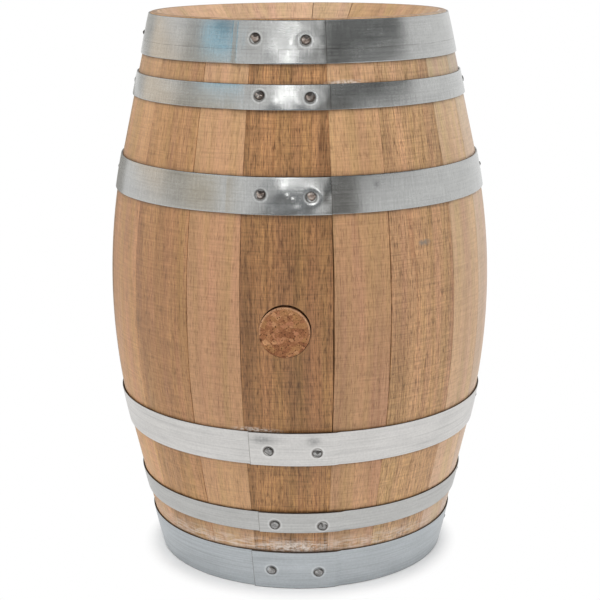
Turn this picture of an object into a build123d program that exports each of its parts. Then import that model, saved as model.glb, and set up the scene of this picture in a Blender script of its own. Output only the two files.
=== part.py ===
"""Oak barrel standing on end.

Bent oak staves are drawn together by six riveted steel hoops. A head of dowelled boards sits in a groove
near each end, and a tapered cork closes the bung hole at the bilge. The origin is the middle of the base,
+Z is up, and the bung faces -Y. Angles round the barrel are measured from the bung, towards +X.
"""
import math
import os

from build123d import *

# Cask
barrel_height = 573.3
bilge_diameter = 400.0
chime_diameter = 304.0
bend_length = 288.0
stave_thickness = 25.0

# Staves: width of each at the bilge, the bung stave first and the rest in order towards +X. The middle of
# the bung stave lies past the bung by the shift.
bung_stave_width = 91.0
bung_stave_shift = 1.9
plain_stave_widths = [58.6, 83, 56, 84, 68, 78.5, 82, 62.5, 75.5, 73.5, 82, 75, 78.5, 74, 77, 58]

# Chimes and croze grooves
chime_flat = 7.0
chime_bevel_depth = 16.0
croze_depth = 5.0
croze_width = 6.0

# Heads
head_recess = 30.0
head_thickness = 18.0
head_board_width = 54.0
boards_per_head = 5
head_bevel = 12.0
head_shoulder_gap = 0.6
croze_clearance = 0.2

# Head dowels
dowel_diameter = 7.0
dowel_length = 40.0
dowel_spacing = 96.0
dowel_clearance = 0.1

# Hoops: distance from the nearer chime, height of the band, and turn of its lap from the bung
hoop_thickness = 1.6
hoop_clearance = 0.05
upper_head_hoop_setback = 1.0
upper_head_hoop_height = 40.0
upper_head_lap_turn = -1.9
upper_quarter_hoop_setback = 59.3
upper_quarter_hoop_height = 23.5
upper_quarter_lap_turn = -0.2
upper_bilge_hoop_setback = 143.3
upper_bilge_hoop_height = 35.0
upper_bilge_lap_turn = 0.4
lower_bilge_hoop_setback = 144.3
lower_bilge_hoop_height = 36.0
lower_bilge_lap_turn = 1.9
lower_quarter_hoop_setback = 67.0
lower_quarter_hoop_height = 22.8
lower_quarter_lap_turn = 3.4
lower_head_hoop_setback = 0.3
lower_head_hoop_height = 42.8
lower_head_lap_turn = 1.9

# Laps: the strip's outer end runs past the rivets by the tail, its hidden inner end by the root
lap_tail = 19.0
lap_root = 14.0
lap_gap = 0.05
lap_step_length = 14.0

# Rivets: each pair is moved up its strip from the mid-line by the lift, and its left one sits higher than
# its right one by the drift
rivet_spacing = 47.0
rivet_drift = 1.8
upper_head_rivet_lift = 2.4
upper_quarter_rivet_lift = 0.5
upper_bilge_rivet_lift = 0.1
lower_bilge_rivet_lift = -2.6
lower_quarter_rivet_lift = -2.6
lower_head_rivet_lift = -0.7
rivet_shank_diameter = 5.0
rivet_head_diameter = 9.8
rivet_head_height = 2.6
rivet_hole_clearance = 0.1
rivet_tail_gap = 0.15

# Hoop nails: one on each side of the barrel, turned from square to the bung
nail_length = 20.0
nail_point_length = 4.0
nail_shank_diameter = 2.4
nail_head_diameter = 6.2
nail_head_height = 1.9
nail_hole_clearance = 0.1
upper_head_nail_turn = 8.0
upper_nail_turn = 3.0
lower_nail_turn = 0.0

# Bung: its axis lies below the middle of the bilge by the drop
bung_drop = 3.8
bung_hole_diameter = 50.4
bung_taper = 3.0
bung_length = 34.0
bung_sink = 0.8
bung_clearance = 0.3
bung_edge_radius = 1.0

FULL_TURN = 360.0
QUARTER_TURN = 90.0
SLOPE_ROUNDS = 60

# Worked out from the sizes above
lap_layers = 2
bilge_radius = bilge_diameter / 2
mid_height = barrel_height / 2
bend_reach = bend_length / 2
straight_reach = mid_height - bend_reach
bilge_swell = (bilge_diameter - chime_diameter) / 2
stave_widths = [bung_stave_width] + plain_stave_widths
chime_radius = chime_diameter / 2


def solve_end_slope():
    """Slope of the straight stave ends, tangent to the bent middle and reaching the chime radius."""
    slope = math.atan2(bilge_swell, mid_height)
    for _ in range(SLOPE_ROUNDS):
        straight_swell = bilge_swell - bend_reach * math.tan(slope / 2)
        slope = math.atan2(straight_swell, straight_reach)
    return slope


end_slope = solve_end_slope()
bend_radius = bend_reach / math.sin(end_slope)
bend_centre = bilge_radius - bend_radius


def outer_radius(height):
    """Outside radius of the staves at a height above the base."""
    reach = abs(height - mid_height)
    if reach < bend_reach:
        return bend_centre + math.sqrt(bend_radius**2 - reach**2)
    bend_end = bend_centre + bend_radius * math.cos(end_slope)
    return bend_end - (reach - bend_reach) * math.tan(end_slope)


def inner_radius(height):
    """Inside radius of the staves on their straight ends."""
    return outer_radius(height) - stave_thickness / math.cos(end_slope)


def at_angle(shape, angle):
    """Turn a shape drawn in the XZ plane so that it lies at an angle from the bung."""
    return Rot(0, 0, angle - QUARTER_TURN) * shape


def swept(face, start, arc):
    """Carry a section round the barrel's axis, from a start angle through an arc."""
    return at_angle(revolve(face, Axis.Z, arc), start)


# Levels of the two heads, and the croze radius that both share
upper_head_level = barrel_height - head_recess - head_thickness / 2
lower_head_level = head_recess + head_thickness / 2
croze_radius = inner_radius(lower_head_level) + croze_depth
croze_half = croze_width / 2


def stave_section():
    """Section of a stave: bent middle, straight ends, bevelled chimes and a croze groove near each end."""
    inner_bend = bend_radius - stave_thickness
    inner_reach = inner_bend * math.sin(end_slope)
    inner_bend_end = bend_centre + inner_bend * math.cos(end_slope)
    bend_end = bend_centre + bend_radius * math.cos(end_slope)

    outer_low = (bend_end, mid_height - bend_reach)
    outer_high = (bend_end, mid_height + bend_reach)
    inner_low = (inner_bend_end, mid_height - inner_reach)
    inner_high = (inner_bend_end, mid_height + inner_reach)

    def chime_and_croze(end, level, inward):
        """Points of one end, from the chime's outer corner, over the bevel and round the groove."""
        bevel_level = end + inward * chime_bevel_depth
        near_lip = level - inward * croze_half
        far_lip = level + inward * croze_half
        return [
            (chime_radius, end),
            (chime_radius - chime_flat, end),
            (inner_radius(bevel_level), bevel_level),
            (inner_radius(near_lip), near_lip),
            (croze_radius, near_lip),
            (croze_radius, far_lip),
            (inner_radius(far_lip), far_lip),
        ]

    low_end = chime_and_croze(0, lower_head_level, 1)
    high_end = chime_and_croze(barrel_height, upper_head_level, -1)
    outline = [
        Polyline(outer_low, *low_end, inner_low),
        ThreePointArc(inner_low, (bend_centre + inner_bend, mid_height), inner_high),
        Polyline(inner_high, *reversed(high_end), outer_high),
        ThreePointArc(outer_high, (bilge_radius, mid_height), outer_low),
    ]
    return Plane.XZ * make_face(Curve() + outline)


class Hoop:
    """A steel strip bent to the slope of the staves, with its ends lapped and riveted."""

    def __init__(self, name, low_edge, height, lap_turn, lap_side, rivet_lift, nail_turn):
        self.name = name
        self.low_edge = low_edge
        self.high_edge = low_edge + height
        self.middle = low_edge + height / 2
        self.lap_turn = lap_turn
        self.lap_side = lap_side
        self.rivet_lift = rivet_lift
        self.nail_angles = [nail_turn - QUARTER_TURN, nail_turn + QUARTER_TURN]
        low_radius = outer_radius(self.low_edge)
        high_radius = outer_radius(self.high_edge)
        self.tilt = math.atan2(low_radius - high_radius, height)
        chord_middle = (low_radius + high_radius) / 2
        swell = max(outer_radius(self.middle) - chord_middle, 0) + hoop_clearance
        self.low_radius = low_radius + swell
        self.high_radius = high_radius + swell
        self.middle_radius = chord_middle + swell

    def section(self, layer):
        """Section of the strip, on the staves as layer 0 or lifted over its own inner end as layer 1."""
        slant = math.cos(self.tilt)
        inside = layer * (hoop_thickness + lap_gap) / slant
        outside = inside + hoop_thickness / slant
        corners = [
            (self.low_radius + inside, self.low_edge),
            (self.low_radius + outside, self.low_edge),
            (self.high_radius + outside, self.high_edge),
            (self.high_radius + inside, self.high_edge),
        ]
        return Plane.XZ * make_face(Polyline(*corners, close=True))

    def turn(self, length):
        """Angle that a length along the strip takes up."""
        return math.degrees(length / self.middle_radius)

    def surface_plane(self, angle, layers, lift=0.0):
        """Plane on the outside of the strip, facing out, past some layers and lifted from its mid-line."""
        build_up = layers * hoop_thickness + (layers - 1) * lap_gap
        across = self.middle_radius + build_up * math.cos(self.tilt) - lift * math.sin(self.tilt)
        up = self.middle + build_up * math.sin(self.tilt) + lift * math.cos(self.tilt)
        sideways = (math.sin(math.radians(angle)), -math.cos(math.radians(angle)))
        origin = (across * sideways[0], across * sideways[1], up)
        level = math.cos(self.tilt)
        normal = (level * sideways[0], level * sideways[1], math.sin(self.tilt))
        return Plane(origin=origin, z_dir=normal)

    def rivet_planes(self):
        """Seats of the two rivets, on the outer end of the lap."""
        half = self.turn(rivet_spacing) / 2
        drift = rivet_drift / 2
        return [
            self.surface_plane(self.lap_turn - half, lap_layers, self.rivet_lift + drift),
            self.surface_plane(self.lap_turn + half, lap_layers, self.rivet_lift - drift),
        ]

    def nail_planes(self):
        """Seats of the two nails, on the sides of the barrel."""
        return [self.surface_plane(angle, 1) for angle in self.nail_angles]

    def solid(self):
        """The whole strip: once round on the staves, a step out, and its outer end over the inner end."""
        half = self.turn(rivet_spacing) / 2
        root = self.turn(lap_root) + half
        tail = self.turn(lap_tail) + half
        step = self.turn(lap_step_length)
        inner_end = self.lap_turn - self.lap_side * root
        outer_end = self.lap_turn + self.lap_side * tail
        step_start = inner_end - self.lap_side * step
        round_arc = FULL_TURN - step
        round_start = inner_end if self.lap_side > 0 else step_start
        strip = swept(self.section(0), round_start, round_arc)
        lap = swept(self.section(1), min(inner_end, outer_end), root + tail)
        ramp_ends = [at_angle(self.section(0), step_start), at_angle(self.section(1), inner_end)]
        ramp = loft(ramp_ends, ruled=True)
        whole = strip + ramp + lap
        rivet_hole = rivet_shank_diameter / 2 + rivet_hole_clearance
        nail_hole = nail_shank_diameter / 2 + nail_hole_clearance
        drill_length = 2 * lap_layers * (hoop_thickness + lap_gap)
        for seat in self.rivet_planes():
            whole -= seat * Cylinder(rivet_hole, drill_length)
        for seat in self.nail_planes():
            whole -= seat * Cylinder(nail_hole, drill_length)
        return whole


def upper_hoop(name, setback, height, lap_turn, rivet_lift, nail_turn):
    """A hoop on the upper half, whose outer end points to the right as seen from the bung side."""
    return Hoop(name, barrel_height - setback - height, height, lap_turn, 1, rivet_lift, nail_turn)


def lower_hoop(name, setback, height, lap_turn, rivet_lift):
    """A hoop on the lower half, driven from the other end, so its outer end points to the left."""
    return Hoop(name, setback, height, lap_turn, -1, rivet_lift, lower_nail_turn)


hoops = [
    upper_hoop(
        "upper_head_hoop",
        upper_head_hoop_setback,
        upper_head_hoop_height,
        upper_head_lap_turn,
        upper_head_rivet_lift,
        upper_head_nail_turn,
    ),
    upper_hoop(
        "upper_quarter_hoop",
        upper_quarter_hoop_setback,
        upper_quarter_hoop_height,
        upper_quarter_lap_turn,
        upper_quarter_rivet_lift,
        upper_nail_turn,
    ),
    upper_hoop(
        "upper_bilge_hoop",
        upper_bilge_hoop_setback,
        upper_bilge_hoop_height,
        upper_bilge_lap_turn,
        upper_bilge_rivet_lift,
        upper_nail_turn,
    ),
    lower_hoop(
        "lower_bilge_hoop",
        lower_bilge_hoop_setback,
        lower_bilge_hoop_height,
        lower_bilge_lap_turn,
        lower_bilge_rivet_lift,
    ),
    lower_hoop(
        "lower_quarter_hoop",
        lower_quarter_hoop_setback,
        lower_quarter_hoop_height,
        lower_quarter_lap_turn,
        lower_quarter_rivet_lift,
    ),
    lower_hoop(
        "lower_head_hoop",
        lower_head_hoop_setback,
        lower_head_hoop_height,
        lower_head_lap_turn,
        lower_head_rivet_lift,
    ),
]


def domed_fastener(head_diameter, head_height, shank_diameter, shank_length, point_length):
    """Fastener standing along Z with the underside of its domed head at Z = 0 and its shank below."""
    head = head_diameter / 2
    shank = shank_diameter / 2
    dome_radius = (head**2 + head_height**2) / (2 * head_height)
    bend = math.asin(head / dome_radius) / 2
    half_way = (dome_radius * math.sin(bend), head_height - dome_radius * (1 - math.cos(bend)))
    point_start = -shank_length + point_length
    outline = [
        ThreePointArc((0, head_height), half_way, (head, 0)),
        Polyline((head, 0), (shank, 0), (shank, point_start), (0, -shank_length), (0, head_height)),
    ]
    return revolve(Plane.XZ * make_face(Curve() + outline), Axis.Z)


def bung_cone(clearance, inner_end, outer_end):
    """Cone on the bung's axis between two distances from the barrel's axis, narrower towards the inside."""
    taper = math.tan(math.radians(bung_taper))
    mouth = bung_hole_diameter / 2 - clearance

    def radius(distance):
        return mouth - (bilge_radius - distance) * taper

    length = outer_end - inner_end
    seat = Plane(origin=(0, -inner_end, mid_height - bung_drop), z_dir=(0, -1, 0))
    grown = Align.MIN
    centred = Align.CENTER
    cone = Cone(radius(inner_end), radius(outer_end), length, align=(centred, centred, grown))
    return seat * cone


def cork_bung():
    """Tapered cork, sunk a little below the bilge, its two rims eased."""
    outer_end = bilge_radius - bung_sink
    cork = bung_cone(bung_clearance, outer_end - bung_length, outer_end)
    return fillet(cork.edges().filter_by(GeomType.CIRCLE), bung_edge_radius)


def head_disc(level):
    """A whole head, its rim thinned on both faces to a tongue that fits the croze groove."""
    tongue = croze_half - croze_clearance
    rim = croze_radius - croze_clearance
    shoulder = min(inner_radius(level - croze_half), inner_radius(level + croze_half)) - head_shoulder_gap
    flat = shoulder - head_bevel
    face = head_thickness / 2
    outline = [
        (0, -face),
        (flat, -face),
        (shoulder, -tongue),
        (rim, -tongue),
        (rim, tongue),
        (shoulder, tongue),
        (flat, face),
        (0, face),
    ]
    disc = revolve(Plane.XZ * make_face(Polyline(*outline, close=True)), Axis.Z)
    return Pos(0, 0, level) * disc


def dowels(level, clearance):
    """The dowels of one head, or the holes for them, square to the board joints."""
    joints = boards_per_head - 1
    radius = dowel_diameter / 2 + clearance
    length = dowel_length + 2 * clearance
    pegs = []
    for joint in range(joints):
        across = (joint - (joints - 1) / 2) * head_board_width
        for side in (-1, 1):
            place = Pos(side * dowel_spacing / 2, across, level) * Rot(QUARTER_TURN, 0, 0)
            pegs.append(place * Cylinder(radius, length))
    return pegs


def head_boards(level):
    """Boards of one head, cut from the disc along X, the two outer ones reaching the rim."""
    disc = head_disc(level)
    for hole in dowels(level, dowel_clearance):
        disc -= hole
    reach = 2 * croze_radius
    boards = []
    for number in range(boards_per_head):
        low = (number - boards_per_head / 2) * head_board_width
        high = low + head_board_width
        if number == 0:
            low = -reach
        if number == boards_per_head - 1:
            high = reach
        strip = Pos(0, (low + high) / 2, level) * Box(2 * reach, high - low, reach)
        boards.append(disc & strip)
    return boards


def save(node, shape):
    """Write one node's solids to its own file."""
    export_step(shape, f"parts/{node}.step")


os.makedirs("parts", exist_ok=True)

# Staves, edge to edge round the girth
section = stave_section()
girth = sum(stave_widths)
nail_hole_radius = nail_shank_diameter / 2 + nail_hole_clearance
nail_hole_length = 2 * (nail_length + nail_hole_clearance)
nail_drill = Cylinder(nail_hole_radius, nail_hole_length)
nail_holes = [seat * nail_drill for hoop in hoops for seat in hoop.nail_planes()]
bung_hole = bung_cone(0, bilge_radius - 2 * stave_thickness, bilge_radius + stave_thickness)
start_angle = FULL_TURN * (bung_stave_shift - bung_stave_width / 2) / girth
for number, width in enumerate(stave_widths):
    arc = FULL_TURN * width / girth
    stave = swept(section, start_angle, arc)
    for hole in nail_holes:
        stave -= hole
    if number == 0:
        stave -= bung_hole
    save("bung_stave" if number == 0 else f"stave_{number:02d}", stave)
    start_angle += arc

# Heads, numbered from the bung side
for side, level in (("upper", upper_head_level), ("lower", lower_head_level)):
    for number, board in enumerate(head_boards(level), 1):
        save(f"{side}_head_board_{number}", board)
    save(f"{side}_head_dowels", Compound(children=dowels(level, 0)))

# Hoops with their fasteners
for hoop in hoops:
    save(hoop.name, hoop.solid())
rivet_length = lap_layers * hoop_thickness + lap_gap - rivet_tail_gap
rivet = domed_fastener(rivet_head_diameter, rivet_head_height, rivet_shank_diameter, rivet_length, 0)
nail = domed_fastener(
    nail_head_diameter,
    nail_head_height,
    nail_shank_diameter,
    nail_length,
    nail_point_length,
)
save("hoop_rivets", Compound(children=[seat * rivet for hoop in hoops for seat in hoop.rivet_planes()]))
save("hoop_nails", Compound(children=[seat * nail for hoop in hoops for seat in hoop.nail_planes()]))

save("cork_bung", cork_bung())
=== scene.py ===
import math

import bpy
import numpy as np
from mathutils import Matrix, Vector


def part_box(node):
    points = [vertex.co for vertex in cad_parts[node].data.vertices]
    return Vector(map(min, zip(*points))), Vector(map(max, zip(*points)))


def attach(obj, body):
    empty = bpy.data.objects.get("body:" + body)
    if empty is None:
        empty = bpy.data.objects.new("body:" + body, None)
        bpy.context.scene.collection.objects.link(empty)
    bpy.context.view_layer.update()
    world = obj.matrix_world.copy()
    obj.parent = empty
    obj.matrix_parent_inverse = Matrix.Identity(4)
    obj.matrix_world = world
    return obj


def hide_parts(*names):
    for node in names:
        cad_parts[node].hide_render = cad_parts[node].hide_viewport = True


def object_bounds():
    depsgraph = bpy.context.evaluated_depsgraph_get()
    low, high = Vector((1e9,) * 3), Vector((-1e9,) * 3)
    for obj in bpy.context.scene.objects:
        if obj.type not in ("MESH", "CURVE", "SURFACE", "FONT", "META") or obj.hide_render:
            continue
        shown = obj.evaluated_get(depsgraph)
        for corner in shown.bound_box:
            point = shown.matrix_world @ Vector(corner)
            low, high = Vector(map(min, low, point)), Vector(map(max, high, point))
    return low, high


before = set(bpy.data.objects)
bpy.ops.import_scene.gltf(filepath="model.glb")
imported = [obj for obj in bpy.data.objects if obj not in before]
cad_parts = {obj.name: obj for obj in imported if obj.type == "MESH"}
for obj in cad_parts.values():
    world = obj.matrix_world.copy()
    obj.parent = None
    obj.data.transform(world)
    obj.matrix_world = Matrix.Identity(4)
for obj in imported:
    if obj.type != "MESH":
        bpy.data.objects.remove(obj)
cad_box = [list(corner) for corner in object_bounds()]


# Staves. Seventeen boards of split oak, thinned, bent over a fire and planed round on the outside. They stand
# edge to edge with no glue, and the hoops alone press them tight. Each end has a bevelled chime and a croze
# groove for the head.
barrel_height = cad_box[1][2]
mid_height = barrel_height / 2
bilge_radius = 0.2
chime_radius = 0.152
bend_reach = 0.144
stave_thickness = 0.025
chime_flat = 0.007
chime_bevel = 0.016
chime_ease = 0.0012
ease_steps = 4
croze_level = 0.039
croze_half = 0.003
croze_depth = 0.005
stave_grid = 0.0032
edge_steps = np.array([0, 0.06, 0.16, 0.32, 0.55, 0.85, 1.4, 2.2]) * 0.001
stave_roll = 0.00006
roll_waves = (23, 31)
gap_waver = 0.35
gap_waves = 71
phase_spread = 6
sharp_angle = 35.0
slope_rounds = 60

end_slope = math.atan2(bilge_radius - chime_radius, mid_height)
for _ in range(slope_rounds):
    straight_swell = bilge_radius - chime_radius - bend_reach * math.tan(end_slope / 2)
    end_slope = math.atan2(straight_swell, mid_height - bend_reach)
bend_radius = bend_reach / math.sin(end_slope)
bend_centre = bilge_radius - bend_radius


def bowed(height, radius):
    """Radius at a height on a curve that is an arc in the middle and runs straight on at the end slope."""
    away = np.abs(height - mid_height)
    reach = radius * math.sin(end_slope)
    arc = bend_centre + np.sqrt(radius**2 - np.minimum(away, reach) ** 2)
    return arc - np.maximum(away - reach, 0) * math.tan(end_slope)


def outer_radius(height):
    """Outside of the cask at a height."""
    return bowed(height, bend_radius)


def inner_radius(height):
    """Inside of the cask at a height, one stave thickness in."""
    return bowed(height, bend_radius - stave_thickness)


def dotted(corners, step):
    """Points along a polyline, about a step apart, with every corner kept."""
    runs = []
    for start, stop in zip(corners[:-1], corners[1:]):
        start, stop = np.array(start), np.array(stop)
        count = math.ceil(np.linalg.norm(stop - start) / step)
        runs.append(start + (stop - start) * (np.arange(count) / count)[:, None])
    return np.concatenate(runs + [np.array(corners[-1:])])


def stave_inside():
    """Radius and height along the inside of a stave: bevel, croze groove, wall, and the same upside down."""
    near_lip, far_lip = croze_level - croze_half, croze_level + croze_half
    groove = inner_radius(croze_level) + croze_depth
    crown = chime_radius - chime_flat
    ease = dotted([(crown, 0), (crown - chime_ease, chime_ease)], chime_ease / ease_steps)
    end = [
        (crown - chime_ease, chime_ease),
        (inner_radius(chime_bevel), chime_bevel),
        (inner_radius(near_lip), near_lip),
        (groove, near_lip),
        (groove, far_lip),
        (inner_radius(far_lip), far_lip),
    ]
    wall_height = np.linspace(far_lip, mid_height, int((mid_height - far_lip) / stave_grid))[1:]
    wall = np.stack([inner_radius(wall_height), wall_height], 1)
    half = np.concatenate([ease[:-1], dotted(end, stave_grid), wall])
    return np.concatenate([half, half[-2::-1] * (1, -1) + (0, barrel_height)])


def eased(distance, radius):
    """How far a corner of this radius has fallen away at a distance from its edge: a quarter circle."""
    inside = np.clip(radius - distance, 0, radius)
    return radius - np.sqrt(radius**2 - inside**2)


def wrapped(turn):
    """Angles brought to within half a turn of zero."""
    return (turn + math.pi) % (2 * math.pi) - math.pi


def about_axis(radius, turn, height):
    """Points from radii about the barrel's axis, angles from the bung and heights."""
    return np.stack(np.broadcast_arrays(radius * np.sin(turn), -radius * np.cos(turn), height), -1)


def numbered(shape):
    """Vertex numbers of a grid of points."""
    return np.arange(math.prod(shape)).reshape(shape)


def closed(index):
    """A grid of vertex numbers with its first column again at the end."""
    return np.concatenate([index, index[:, :1]], 1)


def quads(index):
    """Faces of a grid of vertex numbers, row by row."""
    ring = [index[:-1, :-1], index[:-1, 1:], index[1:, 1:], index[1:, :-1]]
    return np.stack(ring, -1).reshape(-1, 4)


def slab_faces(shape):
    """Faces of a slab: a grid in front, a like one behind it, and strips that join their four edges."""
    front, back = numbered((2, *shape))
    edges = [np.stack([back[:, 0], front[:, 0]], 1), np.stack([front[:, -1], back[:, -1]], 1)]
    edges += [np.stack([back[0], front[0]]), np.stack([front[-1], back[-1]])]
    return np.concatenate([quads(grid) for grid in (front, back.T, *edges)]).tolist()


def stave_skin(start, stop, left, right, inset, phase):
    """Skin of a stave between two angles from the bung. Its outside rolls by hundredths of a millimetre and
    falls away in a quarter circle at each edge. Left and right give a joint's ease, and half its gap at the
    bilge and at the chimes, between which it goes as a parabola does. Flat sides and ends close the skin."""
    inside = stave_inside()
    travelled = np.concatenate([[0], np.cumsum(np.linalg.norm(np.diff(inside, axis=0), axis=1))])
    height = barrel_height * travelled / travelled[-1]
    radius = outer_radius(height)[:, None]
    belly = 1 - (height / mid_height - 1)[:, None] ** 2
    ragged = 1 + gap_waver * np.sin(height * gap_waves + phase)[:, None]

    edge = edge_steps / bilge_radius
    columns = int((stop - start) * bilge_radius / stave_grid)
    plain = np.linspace(edge[-1], stop - start - edge[-1], columns)[1:-1]
    share = np.concatenate([edge, plain, stop - start - edge[::-1]])[None, :] / (stop - start)
    first = start + np.maximum(left[2] + (left[1] - left[2]) * belly, 0) * ragged / radius
    last = stop - np.maximum(right[2] + (right[1] - right[2]) * belly, 0) * ragged / radius
    turn = first + share * (last - first)

    left_fall = eased(radius * (turn - first), left[0])
    right_fall = eased(radius * (last - turn), right[0])
    ends = eased(height, chime_ease) + eased(barrel_height - height, chime_ease)
    rolling = np.sin(height * roll_waves[0] + phase)[:, None] * np.sin(turn * roll_waves[1] + 2 * phase)
    fallen = np.maximum(left_fall, right_fall) + ends[:, None] + stave_roll * (1 + rolling)
    radii = np.stack([radius - inset - fallen, np.broadcast_to(inside[:, :1], turn.shape)])
    levels = np.stack([height, inside[:, 1]])[..., None]
    return about_axis(radii, turn, levels).reshape(-1, 3), slab_faces(turn.shape)


def make_piece(name, points, faces, sharp=sharp_angle):
    """A mesh object at the origin from an array of points and lists of vertex numbers, smooth but for edges
    sharper than an angle."""
    mesh = bpy.data.meshes.new(name)
    mesh.from_pydata(points.tolist(), [], faces)
    mesh.polygons.foreach_set("use_smooth", np.ones(len(mesh.polygons), bool))
    mesh.set_sharp_from_angle(angle=math.radians(sharp))
    mesh.update()
    piece = bpy.data.objects.new(name, mesh)
    bpy.context.scene.collection.objects.link(piece)
    return piece


def points_of(mesh):
    """The mesh's vertices as an array."""
    flat = np.empty(len(mesh.vertices) * 3)
    mesh.vertices.foreach_get("co", flat)
    return flat.reshape(-1, 3)


def note(mesh, name, values):
    """Keep three numbers for each vertex as a named attribute."""
    mesh.attributes.new(name, "FLOAT_VECTOR", "POINT")
    mesh.attributes[name].data.foreach_set("vector", np.ascontiguousarray(values, np.float32).ravel())


def plug(tree, socket, value):
    """Give a socket a value, or join another socket to it."""
    if isinstance(value, bpy.types.NodeSocket):
        tree.links.new(value, socket)
    else:
        socket.default_value = value


def wire(tree, kind, inputs=None, **settings):
    """Add a shader node: settings are its properties, inputs its sockets, as values or as sockets to join."""
    made = tree.nodes.new("ShaderNode" + kind)
    for key, value in settings.items():
        setattr(made, key, value)
    for key, value in (inputs or {}).items():
        plug(tree, made.inputs[key], value)
    return made


def reckon(tree, operation, *terms):
    """One step of arithmetic on numbers or sockets."""
    return wire(tree, "Math", dict(enumerate(terms)), operation=operation).outputs[0]


def times(tree, first, *others):
    """The product of numbers or sockets."""
    for other in others:
        first = reckon(tree, "MULTIPLY", first, other)
    return first


def scaled(tree, value, by, plus):
    """A number or socket times another, plus a third."""
    return reckon(tree, "MULTIPLY_ADD", value, by, plus)


def stretch(tree, where, amount):
    """Places with each of their three directions scaled."""
    return wire(tree, "VectorMath", {0: where, 1: amount}, operation="MULTIPLY").outputs[0]


def moved(tree, where, shift):
    """Places with a shift added."""
    return wire(tree, "VectorMath", {0: where, 1: shift}, operation="ADD").outputs[0]


def parts_of(tree, vector):
    """The three numbers of a vector."""
    return wire(tree, "SeparateXYZ", {0: vector}).outputs


def noted(tree, name):
    """A named attribute of the mesh."""
    return wire(tree, "Attribute", attribute_name=name).outputs["Vector"]


def own_place(tree):
    """Places in the frame that every piece shares."""
    return wire(tree, "TexCoord").outputs["Object"]


def noise(tree, where, lumps, detail=2.0, rough=0.5):
    """Cloudy noise from 0 to 1, with so many lumps to the metre along each of three directions."""
    inputs = {"Vector": stretch(tree, where, lumps), "Scale": 1.0, "Detail": detail, "Roughness": rough}
    return wire(tree, "TexNoise", inputs).outputs["Fac"]


def ramp(tree, factor, *stops):
    """Colours at places from 0 to 1, blended between them. A stop is a place with a grey or a colour."""
    made = wire(tree, "ValToRGB", {"Fac": factor})
    band = made.color_ramp
    while len(band.elements) < len(stops):
        band.elements.new(1.0)
    for element, (place, colour) in zip(band.elements, stops):
        element.position = place
        element.color = (*colour, 1) if isinstance(colour, tuple) else (colour, colour, colour, 1)
    return made.outputs["Color"]


def lay(tree, factor, under, over, blend="MIX"):
    """Lay one colour over another by a factor."""
    over = (*over, 1) if isinstance(over, tuple) else over
    made = wire(tree, "Mix", {0: factor, 6: under, 7: over}, data_type="RGBA", blend_type=blend)
    return made.outputs[2]


def tinted(tree, colour, *layers):
    """A colour multiplied by layers, each given as a weight and a tint."""
    for weight, tint in layers:
        colour = lay(tree, weight, colour, tint, "MULTIPLY")
    return colour


def new_material(name):
    """An empty material: itself, its tree, and its surface shader."""
    made = bpy.data.materials.new(name)
    made.use_nodes = True
    made.node_tree.nodes.clear()
    shader = wire(made.node_tree, "BsdfPrincipled")
    wire(made.node_tree, "OutputMaterial", {"Surface": shader.outputs[0]})
    return made, made.node_tree, shader


def finish_with(tree, shader, **sockets):
    """Set or join a shader's sockets, with underscores for the spaces in their names."""
    for key, value in sockets.items():
        plug(tree, shader.inputs[key.replace("_", " ")], value)


def bumped(tree, height, depth):
    """A surface that rises by a depth in metres where the height goes from 0 to 1."""
    return wire(tree, "Bump", {"Strength": 1.0, "Distance": depth, "Height": height}).outputs[0]


def oval(tree, turn, up, wide, tall):
    """Nearness to a place on the outside of the cask: 1 there, falling straight to 0 at an oval round it."""
    radius = float(outer_radius(up))
    back = (-radius * math.sin(math.radians(turn)), radius * math.cos(math.radians(turn)), -up)
    reach = stretch(tree, moved(tree, own_place(tree), back), (1 / wide, 1 / wide, 1 / tall))
    away = wire(tree, "VectorMath", {0: reach}, operation="LENGTH").outputs["Value"]
    return reckon(tree, "SUBTRACT", 1.0, reckon(tree, "MINIMUM", away, 1.0))


hoop_names = [f"{half}_{place}_hoop" for half in ("upper", "lower") for place in ("head", "quarter", "bilge")]
hoop_edges = sorted((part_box(name)[0].z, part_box(name)[1].z) for name in hoop_names)
# Brown in a band along each hoop edge, partly stain and partly painted shade, stronger above the two lowest
# hoops.
stain_and_shade_brown = (0.085, 0.045, 0.024)
stain_and_shade_below = 0.003
stain_and_shade_above = 0.002
plain_stain_and_shade = 0.5
foot_stain_and_shade = 0.85
foot_hoops = 2
chalk_white = (0.78, 0.7, 0.63)
head_top, bilge_top, quarter_top = (hoop_edges[number][1] for number in (0, 2, 4))
chalk_band = [(head_top, 0.0), (head_top + 0.002, 1.0), (head_top + 0.009, 0.85), (head_top + 0.019, 0.0)]
chalk_patches = [
    (2.0, head_top + 0.005, 0.045, 0.01),
    (20.0, quarter_top, 0.024, 0.004),
    (-9.0, bilge_top + 0.001, 0.03, 0.004),
]
smudge_grey = (0.22, 0.17, 0.125)
smudge_patches = [(42.6, 0.3605, 0.0085, 0.004), (41.0, 0.3605, 0.004, 0.0035)]
knot_brown = (0.16, 0.085, 0.045)
knot_patches = [(-50.2, 0.274, 0.007, 0.017)]
densest_mark = 0.92


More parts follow.
